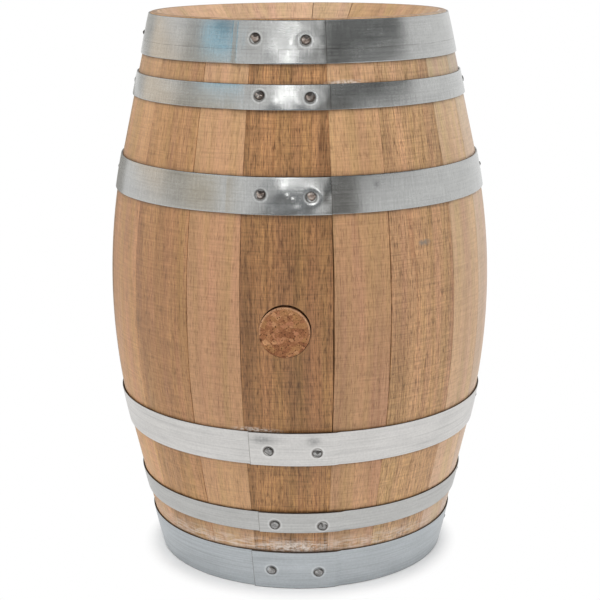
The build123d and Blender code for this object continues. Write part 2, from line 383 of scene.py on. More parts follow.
def hoop_marks(tree, colour, outside):
    """Lay on the outside brown along the edges of the hoops, partly stain and partly painted shade, and what
    use leaves: chalky dabs where they were driven on, a grey smudge and a knot."""
    spot = own_place(tree)
    level = reckon(tree, "DIVIDE", parts_of(tree, spot)[2], barrel_height)
    # A band each side of every hoop: stain and painted shade.
    stops = []
    for number, (low, high) in enumerate(hoop_edges):
        above = foot_stain_and_shade if number < foot_hoops else plain_stain_and_shade
        stops += [(low - stain_and_shade_below, 0.0), (low, plain_stain_and_shade), (high, above), (high + stain_and_shade_above, 0.0)]
    beside = ramp(tree, level, *[(max(place, 0) / barrel_height, shade) for place, shade in stops])
    blotch = ramp(tree, noise(tree, spot, (110, 110, 40), 3.0), (0.35, 0.25), (0.62, 0.95))
    dabs = ramp(tree, noise(tree, spot, (240, 240, 480), 4.0, 0.7), (0.42, 0.0), (0.6, 1.0))
    speckle = ramp(tree, noise(tree, spot, (420, 420, 420), 3.0, 0.6), (0.36, 0.35), (0.6, 1.0))
    band = ramp(tree, level, *[(place / barrel_height, shade) for place, shade in chalk_band])
    drawn = ramp(tree, noise(tree, spot, (70, 70, 520), 4.0, 0.65), (0.42, 0.0), (0.62, 1.0))
    ahead = times(tree, parts_of(tree, spot)[1], -1 / bilge_radius)
    dusty = times(tree, band, drawn, ramp(tree, ahead, (0.3, 0.0), (0.6, 1.0)))
    layers = [(stain_and_shade_brown, times(tree, beside, blotch), 1.0), (chalk_white, dusty, 0.6)]
    for mark, patches, grit, strength in (
        (chalk_white, chalk_patches, dabs, 1.3),
        (smudge_grey, smudge_patches, speckle, 1.6),
        (knot_brown, knot_patches, speckle, 0.8),
    ):
        layers += [(mark, times(tree, oval(tree, *patch), grit), strength) for patch in patches]
    for mark, mask, strength in layers:
        weight = reckon(tree, "MINIMUM", times(tree, mask, strength), densest_mark)
        colour = lay(tree, times(tree, weight, outside), colour, mark)
    return colour


def oak(name, outside):
    """Bare oak. Noise drawn out along the grain gives slow drifts of hue, bands, streaks and pores, and its
    level lines give growth rings. A parabola across the board, pushed along it, gives flames. Fine noise
    across the grain gives the marks of sanding."""
    made, tree, shader = new_material(name)
    bold, flamed, seed = parts_of(tree, noted(tree, "board"))
    tone = wire(tree, "Attribute", attribute_name="tone").outputs["Color"]
    shift = stretch(tree, wire(tree, "CombineXYZ", {0: seed, 1: seed, 2: seed}).outputs[0], (1.0, 0.0, 3.1))
    grain = noted(tree, "grain")
    board = moved(tree, stretch(tree, grain, (1.0, 0.12, 1.0)), shift)
    sway = times(tree, noise(tree, board, (12, 12, 3.0), 1.0), 0.012)
    path = moved(tree, board, wire(tree, "CombineXYZ", {0: sway}).outputs[0])
    across, depth, along = parts_of(tree, grain)
    skin = wire(tree, "MapRange", {0: depth, 1: -0.003, 2: -0.0015}).outputs[0] if outside else 1.0
    streaky = times(tree, bold, scaled(tree, skin, 0.6, 0.4))

    hues = noise(tree, path, (75, 75, 4.0), 2.0)
    drift = ramp(tree, hues, (0.34, (0.985, 1.025, 0.93)), (0.66, (1.025, 0.975, 1.05)))
    lumps = noise(tree, path, (42, 42, 3.5), 3.0)
    cloud = ramp(tree, lumps, (0.3, (0.7, 0.68, 0.64)), (0.5, 1.0), (0.7, 1.2))
    years = scaled(tree, noise(tree, path, (38, 20, 0.7), 1.0), 14.0, 8.0)
    growth = reckon(tree, "FRACT", scaled(tree, across, 60.0, years))
    rings = ramp(tree, growth, (0.0, (0.72, 0.64, 0.56)), (0.2, (0.98, 0.97, 0.96)), (0.85, 1.05), (1.0, 0.8))
    fibres = noise(tree, path, (640, 400, 34), 3.0, 0.7)
    streaks = ramp(tree, fibres, (0.3, (0.42, 0.34, 0.26)), (0.5, 1.0), (0.7, (1.22, 1.2, 1.14)))
    swaths = noise(tree, path, (150, 40, 3.5), 3.0, 0.6)
    bands = ramp(tree, swaths, (0.34, (0.66, 0.6, 0.52)), (0.5, 1.0), (0.66, (1.17, 1.16, 1.12)))
    vessels = noise(tree, path, (820, 820, 115), 2.0, 0.6)
    pores = ramp(tree, vessels, (0.3, (0.36, 0.29, 0.22)), (0.47, 1.0), (0.7, 1.12))
    sanding = noise(tree, path, (26, 26, 470), 3.0, 0.75)
    scuffs = ramp(tree, sanding, (0.3, 0.66), (0.5, 1.0), (0.7, 1.26))

    bow = reckon(tree, "POWER", times(tree, reckon(tree, "ADD", across, sway), 84.0), 2.0)
    wander = times(tree, noise(tree, path, (26, 26, 7), 2.0), 5.0)
    tips = scaled(tree, along, 24.0, wander)
    flame = reckon(tree, "FRACT", reckon(tree, "ADD", bow, tips))
    flames = ramp(tree, flame, (0.0, (0.8, 0.76, 0.7)), (0.3, 0.95), (0.8, 1.02), (0.93, 1.2), (1.0, 0.9))

    colour = tinted(
        tree,
        tone,
        (1.0, drift),
        (scaled(tree, streaky, 0.65, 0.3), cloud),
        (scaled(tree, streaky, 0.65, 0.05), rings),
        (scaled(tree, streaky, 0.72, 0.06), streaks),
        (flamed, bands),
        (flamed, flames),
        (scaled(tree, streaky, 0.6, 0.3), pores),
        (scaled(tree, streaky, 0.4, 0.34), scuffs),
    )
    pins = wire(tree, "TexVoronoi", {"Vector": stretch(tree, path, (24, 0, 24)), "Scale": 1.0})
    chosen = ramp(tree, parts_of(tree, pins.outputs["Color"])[0], (0.8, 0.0), (0.81, 0.8))
    pin = ramp(tree, pins.outputs["Distance"], (0.017, 1.0), (0.03, 0.0))
    colour = lay(tree, times(tree, pin, chosen), colour, (0.07, 0.03, 0.015))
    if outside:
        colour = hoop_marks(tree, colour, skin)
        lie = parts_of(tree, wire(tree, "NewGeometry").outputs["True Normal"])[2]
        ends = ramp(tree, reckon(tree, "ABSOLUTE", lie), (0.75, 0.0), (0.95, 0.7))
        colour = lay(tree, ends, colour, (0.22, 0.125, 0.07))

    rough = ramp(tree, noise(tree, path, (200, 200, 10)), (0.3, 0.44), (0.7, 0.6))
    relief = scaled(tree, streaks, 0.6, times(tree, sanding, 0.4))
    normal = bumped(tree, relief, 0.00009)
    finish_with(tree, shader, Base_Color=colour, Roughness=rough, Normal=normal, Specular_IOR_Level=0.5)
    return made


# Each board: tone, streaks, flames, and how much more it lightens towards its ends, partly as painted light.
# The two palest tones, for the staves at the right edge, are painted sheen.
oak_boards = {
    "pale": ((0.444, 0.241, 0.12), 0.42, 0.0, 0.32),
    "gold": ((0.484, 0.256, 0.117), 0.42, 0.0, 0.3),
    "pale_sheen": ((0.51, 0.323, 0.186), 0.3, 0.0, 0.16),
    "white": ((0.52, 0.36, 0.245), 0.2, 0.0, 0.14),
    "honey": ((0.402, 0.219, 0.109), 0.5, 0.0, 0.52),
    "brown": ((0.38, 0.196, 0.0855), 0.65, 0.15, 0.34),
    "streaky": ((0.415, 0.234, 0.114), 1.05, 0.0, 0.42),
    "dark": ((0.295, 0.144, 0.056), 1.2, 0.5, 0.65),
    "head": ((0.47, 0.275, 0.155), 0.5, 0.25, 0.0),
}
stave_boards = ["dark", "honey", "streaky", "pale_sheen", "white", "honey", "brown", "brown", "honey", "pale"]
stave_boards += ["honey", "pale", "honey", "streaky", "gold", "brown", "pale"]
# Tone of the inside against the outside: lighter, as unweathered wood is, and lighter still as painted light.
raw_and_lit_inside = np.array((1.3, 1.57, 1.97))
raw_depth = 0.006
# The outside lightens towards its ends, partly the board's own tone and partly painted light, and evenly
# towards its foot as painted light.
end_tone_and_light = np.array((0.1, 0.26, 0.3))
foot_painted_light = 0.08
# Past the quarter hoops the outside is darker, and at the neck darker still towards the sides, which is
# painted shade.
end_bands = (0.72, 0.78)
neck_darkening = np.array((0.03, 0.02, -0.04))
side_shade = 0.2
foot_darkening = np.array((0.15, 0.12, 0.03))
least_inset = 0.00008
inset_spread = 0.0002
first_figure = 2.0
figure_step = 1.7
tight_joint = (0.0003, 0.00004, 0.00002)
rim_joint = (0.0005, 0.0002, 0.00045)
stave_joints = {
    0: (0.0004, 0.0002, 0.0),
    1: (0.0006, 0.0006, -0.0015),
    2: (0.0006, 0.0005, -0.0012),
    3: (0.0006, 0.00035, 0.0002),
    4: (0.0006, 0.00035, 0.0002),
    8: rim_joint,
    9: rim_joint,
    15: (0.0003, 0.0, 0.0),
    16: (0.0005, 0.00025, 0.0001),
    17: (0.0004, 0.0002, 0.0),
}
stave_oak = oak("stave_oak", True)


def stave_angles(node):
    """First and last angle of a CAD stave from the bung, in radians."""
    x, y, _ = points_of(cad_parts[node].data).T
    middle = math.atan2(x.mean(), -y.mean())
    turned = wrapped(np.arctan2(x, -y) - middle)
    return middle + turned.min(), middle + turned.max()


def note_board(mesh, grain, board, seed, tone=1.0):
    """Keep each vertex's place across, into and along its board, and the board's figure, seed and tone."""
    colour, streaks, flames, _ = oak_boards[board]
    note(mesh, "grain", grain)
    note(mesh, "board", np.broadcast_to((streaks, flames, seed), grain.shape))
    note(mesh, "tone", tone * np.broadcast_to(colour, grain.shape))


def note_stave(mesh, middle, board, seed):
    """Mark a stave's board on its mesh. The inside is lighter than the outside, as unweathered wood is, and
    lighter still as painted light. The outside is lighter towards its ends as the square of the distance from
    the bilge, partly the board's own tone and partly painted light, and evenly towards its foot as painted
    light. Past the quarter hoops it is darker, and at the neck also towards the sides by the square of the
    sine of the angle from the bung, as painted shade."""
    x, y, z = points_of(mesh).T
    radius = np.hypot(x, y)
    turned = wrapped(np.arctan2(x, -y) - middle)
    grain = np.stack([radius * turned, radius - outer_radius(z), z], 1)
    raised = z[:, None] / mid_height - 1
    # Lighter towards the ends, part tone and part painted light, and towards the foot as painted light.
    tone_light_and_shade = 1 + (oak_boards[board][3] + end_tone_and_light) * raised**2 - foot_painted_light * raised
    past_hoop = np.interp(np.abs(raised), end_bands, (0, 1))
    # Painted shade at the neck, deeper towards the sides.
    at_neck = neck_darkening + side_shade * (x / radius)[:, None] ** 2
    tone_light_and_shade = tone_light_and_shade * (1 - past_hoop * np.where(raised > 0, at_neck, foot_darkening))
    # The inside is lighter: unweathered wood, and painted light.
    share = np.clip(-grain[:, 1:2] / raw_depth, 0, 1)
    note_board(mesh, grain, board, seed, tone_light_and_shade + share * (raw_and_lit_inside - tone_light_and_shade))


dice = np.random.default_rng(17)
stave_nodes = ["bung_stave"] + [f"stave_{number:02d}" for number in range(1, 17)]
staves = {}
for number, node in enumerate(stave_nodes):
    start, stop = stave_angles(node)
    left, right = (stave_joints.get(joint, tight_joint) for joint in (number, number + 1))
    inset = least_inset + inset_spread * dice.random()
    skin = stave_skin(start, stop, left, right, inset, phase_spread * dice.random())
    staves[node] = make_piece(node + "_oak", *skin)
    staves[node].data.materials.append(stave_oak)
    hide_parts(node)
    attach(staves[node], "cask")
    if node != "bung_stave":
        figure = first_figure + figure_step * number
        note_stave(staves[node].data, (start + stop) / 2, stave_boards[number], figure)


# Bung hole. A tapered hole, reamed square through the widest stave near the middle of the bilge. Its outer
# edge is rubbed off, and worn away at the top where bungs were levered out.
bung_level = (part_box("cork_bung")[0].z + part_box("cork_bung")[1].z) / 2
hole_radius = 0.0252
hole_taper = math.tan(math.radians(3.0))
hole_edge = 0.0003
hole_wear = 0.0021
wear_turn = math.radians(75)
wear_power = 1.5
hole_sides = 96


def hole_reamer():
    """The reamer as a closed skin about the bung's axis: a cone up to just under the stave's outside, a flare
    at 45 degrees through it, a straight end past it, and a flat cap at each end. From the end of the cone on
    it is wider towards the worn side, by a power of the cosine."""
    turn = 2 * math.pi * np.arange(hole_sides) / hole_sides
    level = bung_level + hole_radius * np.sin(turn)
    face = np.sqrt(outer_radius(level) ** 2 - (hole_radius * np.cos(turn)) ** 2)
    inner = np.full(hole_sides, bilge_radius - 2 * stave_thickness)
    outer = np.full(hole_sides, bilge_radius + stave_thickness)
    reach = np.stack([inner, face - hole_edge, face + hole_edge, outer])
    worn = hole_wear * np.maximum(np.cos(turn - wear_turn), 0) ** wear_power
    radii = hole_radius - (bilge_radius - reach) * hole_taper
    radii[1:] = radii[1] + worn + hole_edge * np.array([0, 2, 2])[:, None]
    rings = np.stack([radii * np.cos(turn), -reach, bung_level + radii * np.sin(turn)], -1).reshape(-1, 3)
    index = numbered(reach.shape)
    return rings, quads(closed(index)).tolist() + [index[0].tolist(), index[-1][::-1].tolist()]


reamer = make_piece("bung_reamer", *hole_reamer())
bung_stave = staves["bung_stave"]
cut = bung_stave.modifiers.new("bung_hole", "BOOLEAN")
cut.solver = "EXACT"
cut.object = reamer
drilled = bung_stave.evaluated_get(bpy.context.evaluated_depsgraph_get())
bung_stave.data = bpy.data.meshes.new_from_object(drilled)
bung_stave.modifiers.clear()
bpy.data.objects.remove(reamer)
bung_stave.data.set_sharp_from_angle(angle=math.radians(sharp_angle))
note_stave(bung_stave.data, 0.0, stave_boards[0], first_figure)


# Heads. Each end is closed by five oak boards, dowelled edge to edge and cut round, with the rim thinned on
# both faces to a tongue that sits in the croze groove. The joints run from side to side, with eased arrises.
boards_per_head = 5
head_thickness = 0.018
rim_play = 0.0002
shoulder_play = 0.0006
head_rim = inner_radius(croze_level) + croze_depth - rim_play
head_shoulder = inner_radius(croze_level - croze_half) - shoulder_play
head_bevel = 0.012
head_tongue = 0.0028
head_arris = 0.0011
head_columns = 34
head_rows = 150
arris_steps = np.array([0, 0.07, 0.2, 0.4, 0.7, 1.2, 2.0]) * 0.001
least_chord = 0.0001
darkest_board = 0.86
tone_spread = 0.28
head_figure = 40
level_figure = 10
board_figure = 1.3
head_oak = oak("head_oak", False)


def head_board_skin(low, high, level):
    """Skin of a head board between two places across the head: its thickness is flat, then falls in a
    straight bevel to the tongue, as a function of the distance from the barrel's axis, and is eased along the
    joints."""
    width = high - low
    edge = arris_steps / width
    plain = np.linspace(edge[-1], 1 - edge[-1], head_columns)[1:-1]
    across = (low + np.concatenate([edge, plain, 1 - edge[::-1]]) * width)[None, :]
    reach = np.sqrt(np.maximum(head_rim**2 - across**2, least_chord**2))
    along = np.sin(np.linspace(-math.pi / 2, math.pi / 2, head_rows))[:, None] * reach
    away = np.hypot(across, along)
    flat = head_shoulder - head_bevel
    half = np.interp(away, [flat, head_shoulder], [head_thickness / 2, head_tongue])
    fallen = np.minimum(eased(across - low, head_arris) + eased(high - across, head_arris), half / 2)
    across = np.broadcast_to(across, along.shape)
    sides = [np.stack([along, across, level + side * (half - fallen)], -1) for side in (-1, 1)]
    return np.concatenate(sides).reshape(-1, 3), slab_faces(along.shape)


for half, level in (("lower", croze_level), ("upper", barrel_height - croze_level)):
    for number in range(1, boards_per_head + 1):
        node = f"{half}_head_board_{number}"
        low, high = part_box(node)[0].y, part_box(node)[1].y
        board = make_piece(node + "_oak", *head_board_skin(low, high, level))
        x, y, z = points_of(board.data).T
        tone = darkest_board + tone_spread * dice.random()
        grain = np.stack([y - (low + high) / 2, z, x], 1)
        figure = head_figure + level_figure * level + board_figure * number
        note_board(board.data, grain, "head", figure, tone)
        board.data.materials.append(head_oak)
        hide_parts(node)
        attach(board, "cask")


# Head dowels. Turned beech pegs, eight in each head, pushed into holes bored in the edges of the boards.
# They show only when the head is taken apart.
dowel_beech, tree, shader = new_material("dowel_beech")
fibre = noise(tree, own_place(tree), (900, 60, 900), 3.0)
colour = ramp(tree, fibre, (0.3, (0.52, 0.34, 0.2)), (0.7, (0.66, 0.47, 0.3)))
finish_with(tree, shader, Base_Color=colour, Roughness=0.6, Normal=bumped(tree, fibre, 0.0001))
for half in ("lower", "upper"):
    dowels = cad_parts[f"{half}_head_dowels"]
    dowels.data.materials.clear()
    dowels.data.materials.append(dowel_beech)


# Hoops. Six strips of galvanised steel, bent to the slope of the staves and driven on from the ends. The two
# ends of each strip lap at the front, where two rivets join them. The hammer flattens the strip round the
# rivets and leaves the lap dented.
hoop_thickness = 0.0016
hoop_seed = 100
hoop_sharp = 50
hoop_clearance = 0.00005
hoop_arris = 0.0004
hoop_crown = 0.0075
strip_grid = 0.0022
lap_rows = 150
face_columns = 44
back_columns = 8
arris_columns = 5
lap_gap = 0.00005
lap_steps = {"upper_quarter_hoop": (0.02, 0.02), "upper_bilge_hoop": (0.02, 0.02)}
plain_step = (0.009, 0.0055)
lap_root = 0.014
lap_tail = 0.019
short_tails = {"lower_quarter_hoop": 0.016}
lap_ease = 0.008
lap_lift = 0.0003
lift_run = 0.01
rivet_spacing = 0.047
rivet_drift = 0.0018
rivet_head_radius = 0.0049
lap_turn_and_rivet_lift = {
    "upper_head_hoop": (-1.9, 0.0024),
    "upper_quarter_hoop": (-0.2, 0.0005),
    "upper_bilge_hoop": (0.4, 0.0001),
    "lower_bilge_hoop": (1.9, -0.0026),
    "lower_quarter_hoop": (3.4, -0.0026),
    "lower_head_hoop": (1.9, -0.0007),
}
lap_dents = {"upper_bilge_hoop": 0.0002, "upper_quarter_hoop": 0.0004, "upper_head_hoop": 0.0003}
plain_dents = 0.00015
blow_count = 12
least_blow = 0.004
blow_spread = 0.006
faintest_blow = 0.35
heavy_blows = {
    "upper_bilge_hoop": [
        (0.032, -0.001, 0.013, 0.0028),
        (-0.004, 0.004, 0.009, 0.0006),
        (0.011, -0.013, 0.005, 0.0005),
        (0.0017, 0.0, 0.002, 0.0004),
        (0.0067, -0.0035, 0.002, 0.0004),
    ],
}
hammered_flats = {"upper_head_hoop": (0.008, 0.01), "upper_quarter_hoop": (0.006, 0.007)}
plain_flats = (0.007, 0.007)
flat_fade = 0.009
seat_reach = 1.1
spared_reach = 1.3 * rivet_head_radius
strip_roll = 0.00012
wave_count = 3
least_waves = (15, 0)
wave_spread = (60, 6)
wave_slant = 20
edge_depth = 0.6 * hoop_arris
end_depth = 0.0001
# Rings round the rivet heads: a dark one of dirt and painted shade, then a pale one of painted highlight.
dirt_and_shade_ring = (0.0001, 0.0006)
highlight_ring = (0.0018, 0.0007)
strip_figure = 3
rolling_lines = {"upper_head_hoop": -0.005}
no_line = 0.5
hoop_smears = {
    "lower_bilge_hoop": [(-6.8, 0.0105, 0.011, 0.005), (8.0, 0.0098, 0.006, 0.0045)],
    "upper_bilge_hoop": [(27.0, 0.0085, 0.003, 0.0035)],
}


def hoop_cone(name):
    """A hoop's mean radius and height on the staves, its tilt, and its width along the slope."""
    low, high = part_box(name)[0].z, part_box(name)[1].z
    low_radius, high_radius = outer_radius(low), outer_radius(high)
    middle = (low_radius + high_radius) / 2
    swell = max(outer_radius((low + high) / 2) - middle, 0) + hoop_clearance
    tilt = math.atan2(low_radius - high_radius, high - low)
    return middle + swell, (low + high) / 2, tilt, (high - low) / math.cos(tilt)


def strip_section(width):
    """Places across and out of the strip round its section, a rectangle with rounded corners, from the foot
    of its outer face upwards."""
    bend = np.linspace(0, math.pi / 2, arris_columns)
    half, top = width / 2 - hoop_arris, hoop_thickness - hoop_arris
    face = np.linspace(-half, half, face_columns)
    back = np.linspace(half, -half, back_columns)[1:]
    swing, rise = hoop_arris * np.sin(bend), hoop_arris * np.cos(bend)
    across = [face, half + swing[1:], half + rise[1:], back, -half - swing[1:], -half - rise[1:-1]]
    out = [np.full(face_columns, hoop_thickness), top + rise[1:], hoop_arris - swing[1:], np.zeros(back.size)]
    out += [hoop_arris - rise[1:], top + swing[1:-1]]
    return np.concatenate(across), np.concatenate(out)


def smooth_step(value):
    """Rise from 0 to 1 without a corner at either end."""
    value = np.clip(value, 0, 1)
    return value * value * (3 - 2 * value)


def bell(*offsets):
    """A bell: e to the power of minus the sum of the squares of some offsets."""
    return np.exp(-sum(offset**2 for offset in offsets))


def hoop_skin(name, number):
    """Skin of a hoop: the strip's section carried once round the cask and on over its own inner end. It is
    crowned across as a parabola and rolls a little as a mean of sines. It steps out by its thickness before
    the lap, is flat in a disc round each rivet, swells in bells at a few blows and lifts at its outer end."""
    middle, level, tilt, width = hoop_cone(name)
    side = 1 if name.startswith("upper") else -1
    lap = lap_root + rivet_spacing + short_tails.get(name, lap_tail)
    lap_step, step_run = lap_steps.get(name, plain_step)
    girth = 2 * math.pi * middle
    lap_turn, rivet_lift = lap_turn_and_rivet_lift[name]
    inner_end = math.radians(lap_turn) - side * (lap_root + rivet_spacing / 2) / middle
    coarse = np.arange(0, girth - lap_step, strip_grid)
    along = np.concatenate([coarse, np.linspace(girth - lap_step, girth + lap, lap_rows)])[:, None]
    across, out = (values[None, :] for values in strip_section(width))
    turn = inner_end + side * along / middle

    draws = np.random.default_rng(hoop_seed + number)
    layer = np.clip((along - girth + lap_step) / step_run, 0, 1)
    on_lap = smooth_step((along - girth) / lap_ease)
    rivets = girth + lap_root + np.array([0, rivet_spacing])
    lifts = rivet_lift + side * rivet_drift * np.array([0.5, -0.5])
    away = np.sqrt((along[..., None] - rivets) ** 2 + (across[..., None] - lifts) ** 2)
    flats = np.array(hammered_flats.get(name, plain_flats))[::side]
    fade = bell(np.maximum(away - flats, 0) / flat_fade)
    flattened = (np.minimum(away, flats) ** 2 / (2 * middle) * fade).max(-1) * on_lap
    seated = np.prod(1 - bell(away / (seat_reach * flats)), axis=-1)
    spared = np.prod(1 - bell(away / spared_reach), axis=-1)
    blow_along = girth + lap * draws.random(blow_count)
    blow_across = width * (draws.random(blow_count) - 0.5)
    blow_size = least_blow + blow_spread * draws.random(blow_count)
    blows = bell((along[..., None] - blow_along) / blow_size, (across[..., None] - blow_across) / blow_size)
    dented = (blows * np.linspace(faintest_blow, 1, blow_count)).sum(-1)
    dented = dented * seated * on_lap * lap_dents.get(name, plain_dents)
    for centre, up, size, tall in heavy_blows.get(name, ()):
        swing = along - girth - lap_root - rivet_spacing / 2 - side * centre
        dented = dented + tall * on_lap * spared * bell(swing / size, (across - up) / size)
    lifted = lap_lift * smooth_step((along - girth - lap + lift_run) / lift_run)
    waves, phases = (draws.random((wave_count, 2)) * wave_spread + least_waves).T
    rolling = np.sin(along[..., None] * waves + phases + across[..., None] * wave_slant).mean(-1)
    roll = strip_roll * (1 + rolling)
    crowned = hoop_crown * width * (2 * across / width) ** 2
    out = out + layer * (hoop_thickness + lap_gap) + flattened + dented + lifted + roll - crowned

    radius = middle - across * math.sin(tilt) + out / math.cos(tilt)
    height = level + across * math.cos(tilt)
    points = about_axis(radius, turn, height)
    index = numbered(points.shape[:2])
    around = closed(index)
    ends = [index[0].tolist(), index[-1][::-1].tolist()]
    faces = quads(around[:, ::-1] if side > 0 else around).tolist()
    faces += ends if side > 0 else [end[::-1] for end in ends]

    cut_edge = np.abs(across) > width / 2 - edge_depth
    cut_edge = cut_edge | (along < end_depth) | (along > girth + lap - end_depth)
    past_rivet = away.min(-1) - rivet_head_radius
    # Round each rivet, a dark ring of dirt and painted shade, and just past it a pale ring of painted
    # highlight.
    dirt_and_shade, painted_highlight = (bell((past_rivet - place) / spread) for place, spread in (dirt_and_shade_ring, highlight_ring))
    ring = dirt_and_shade - painted_highlight
    smear = np.zeros(index.shape)
    for centre, up, long, tall in hoop_smears.get(name, ()):
        swing = wrapped(turn - math.radians(centre))
        smear = smear + bell(swing * middle / long, (across - up) / tall)
    line = across - rolling_lines.get(name, no_line)
    strip = np.stack(np.broadcast_arrays(along + strip_figure * number, across, line), -1)
    wear_and_painted_light = np.stack(np.broadcast_arrays(cut_edge, ring, smear), -1)
    return points.reshape(-1, 3), faces, strip.reshape(-1, 3), wear_and_painted_light.reshape(-1, 3)


def zinc(name, colour, gloss, brushed, hatched):
    """Zinc coating on rolled steel: fine lines along the strip, faint grain across it, cloudy handling marks,
    a dark line from the rolls, dark sheared edges, a dark ring of dirt and painted shade round the rivets,
    and a pale ring of painted highlight round that."""
    made, tree, shader = new_material(name)
    strip = noted(tree, "strip")
    edge, ring, smear = parts_of(tree, noted(tree, "wear_and_painted_light"))
    lines = noise(tree, strip, (9, 520, 0), 4.0, 0.65)
    grain = noise(tree, strip, (900, 60, 0), 2.0)
    clouds = noise(tree, strip, (26, 60, 0), 4.0, 0.6)
    frost = noise(tree, strip, (420, 420, 0), 2.0)
    colour = tinted(
        tree,
        ramp(tree, clouds, (0.3, tuple(0.86 * part for part in colour)), (0.7, colour)),
        (brushed, ramp(tree, lines, (0.32, 0.8), (0.52, 1.0), (0.75, 1.1))),
        (hatched, ramp(tree, grain, (0.3, 0.86), (0.7, 1.1))),
        (0.4, ramp(tree, frost, (0.35, 0.9), (0.65, 1.08))),
    )
    wander = times(tree, noise(tree, strip, (14, 0, 0), 2.0), 0.003)
    off_line = reckon(tree, "ABSOLUTE", reckon(tree, "ADD", parts_of(tree, strip)[2], wander))
    rolled = ramp(tree, times(tree, off_line, 100), (0.015, 0.4), (0.06, 0.0))
    broken = ramp(tree, noise(tree, strip, (40, 300, 0), 2.0), (0.4, 0.0), (0.55, 1.0))
    dirty = ramp(tree, noise(tree, strip, (300, 300, 0), 3.0), (0.3, 0.4), (0.65, 1.0))
    for weight, mark in (
        (times(tree, rolled, broken), (0.14, 0.13, 0.12)),
        (times(tree, smear, dirty, 0.7), (0.2, 0.2, 0.2)),
        # a dark ring of dirt and painted shade round each rivet, then a pale ring of painted highlight
        (reckon(tree, "MAXIMUM", times(tree, ring, 0.8), 0.0), (0.08, 0.07, 0.06)),
        (reckon(tree, "MAXIMUM", times(tree, ring, -0.35, dirty), 0.0), (0.95, 0.95, 0.94)),
        (edge, (0.1, 0.075, 0.055)),
    ):
        colour = lay(tree, weight, colour, mark)
    rough = ramp(tree, scaled(tree, lines, 0.4, times(tree, clouds, 0.6)), *gloss)
    relief = scaled(tree, lines, 0.6, times(tree, frost, 0.4))
    normal = bumped(tree, relief, 0.00002)
    finish_with(tree, shader, Base_Color=colour, Metallic=1.0, Roughness=rough, Normal=normal)
    return made


bright_zinc = zinc("bright_zinc", (0.52, 0.525, 0.515), ((0.3, 0.19), (0.7, 0.3)), 0.5, 0.65)
dull_zinc = zinc("dull_zinc", (0.74, 0.725, 0.705), ((0.3, 0.42), (0.7, 0.56)), 0.75, 0.15)
grey_zinc = zinc("grey_zinc", (0.575, 0.572, 0.558), ((0.3, 0.42), (0.7, 0.56)), 0.8, 0.15)
# The lowest hoop takes a darker, bluish copy of the dull zinc as painted shade.
shaded_blue_zinc = zinc("shaded_blue_zinc", (0.51, 0.54, 0.56), ((0.3, 0.4), (0.7, 0.54)), 0.9, 0.12)
lower_zincs = {"lower_head_hoop": shaded_blue_zinc, "lower_quarter_hoop": grey_zinc, "lower_bilge_hoop": dull_zinc}
for number, name in enumerate(hoop_names):
    points, faces, strip, wear_and_painted_light = hoop_skin(name, number)
    hoop = make_piece(name + "_strip", points, faces, hoop_sharp)
    note(hoop.data, "strip", strip)
    note(hoop.data, "wear_and_painted_light", wear_and_painted_light)
    hoop.data.materials.append(lower_zincs.get(name, bright_zinc))
    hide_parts(name)
    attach(hoop, "cask")


# Rivets. Two through each lap, of soft steel, with the outer head hammered to a low dome and the tail set
# against the wood. Their faces are faceted by the hammer, and the upper ones are tarnished brown.
rivet_head_height = 0.0026
rivet_rim = 0.0005
rivet_shank_radius = 0.0025
rivet_shank_length = 0.0031
rivet_steps = 12
rivet_sides = 32
rivet_seed = 7
head_sharp = 50
hammer_blows = 7
hammer_lean = 0.33
hammer_level = 0.9
hammer_spread = 0.06
hammer_share = 0.8


def headed_profile(head_radius, head_height, rim, shank_radius, shank_end, point, steps):
    """Radii and heights of a fastener from the top of its head to its point: a quarter of an ellipse down to
    a rim, the flat underside of the head, a straight shank and its end."""
    dome = np.linspace(0, math.pi / 2, steps)
    radii = [head_radius * np.sin(dome), [head_radius, shank_radius, shank_radius, 0]]
    heights = [rim + (head_height - rim) * np.cos(dome), [0.0, 0.0, shank_end, point]]
    return np.concatenate(radii), np.concatenate(heights)


def turned_skin(radii, heights, sides):
    """Skin of a turned shape: a profile of radii and heights from a point on the axis to another, carried
    round. Its walls have four corners, and its caps three."""
    turn = 2 * math.pi * np.arange(sides) / sides
    reach, level = radii[1:-1, None], heights[1:-1, None]
    rings = np.stack(np.broadcast_arrays(reach * np.cos(turn), reach * np.sin(turn), level), -1)
    index = numbered(rings.shape[:2])
    around = closed(index)
    points = np.concatenate([rings.reshape(-1, 3), [(0, 0, heights[0]), (0, 0, heights[-1])]])
    top = np.full(sides, index.size)
    caps = [np.stack([top, around[0, :-1], around[0, 1:]], 1)]
    caps += [np.stack([top + 1, around[-1, 1:], around[-1, :-1]], 1)]
    return points, quads(around.T), np.concatenate(caps)


def hoop_seat(name, turn, layers, lift=0.0):
    """Origin and three axes of a place on a hoop, past a number of layers and lifted up the strip from its
    mid-line, with the third axis facing out."""
    middle, level, tilt, _ = hoop_cone(name)
    built = layers * hoop_thickness + (layers - 1) * lap_gap
    outward = np.array([math.sin(turn), -math.cos(turn), 0])
    sideways = np.array([math.cos(turn), math.sin(turn), 0])
    facing = outward * math.cos(tilt) + np.array([0, 0, math.sin(tilt)])
    upward = np.cross(facing, sideways)
    origin = outward * middle + np.array([0, 0, level]) + built * facing + lift * upward
    return origin, np.stack([sideways, upward, facing])


def hammered(points, head_height, draws):
    """Flatten a domed head unevenly: each of a few random planes takes off most of what stands above it."""
    for _ in range(hammer_blows):
        lean = draws.normal(0, hammer_lean, 2)
        plane = head_height * (hammer_level + hammer_spread * draws.random())
        points[:, 2] -= hammer_share * np.maximum(points[:, 2] + points[:, :2] @ lean - plane, 0)
    return points


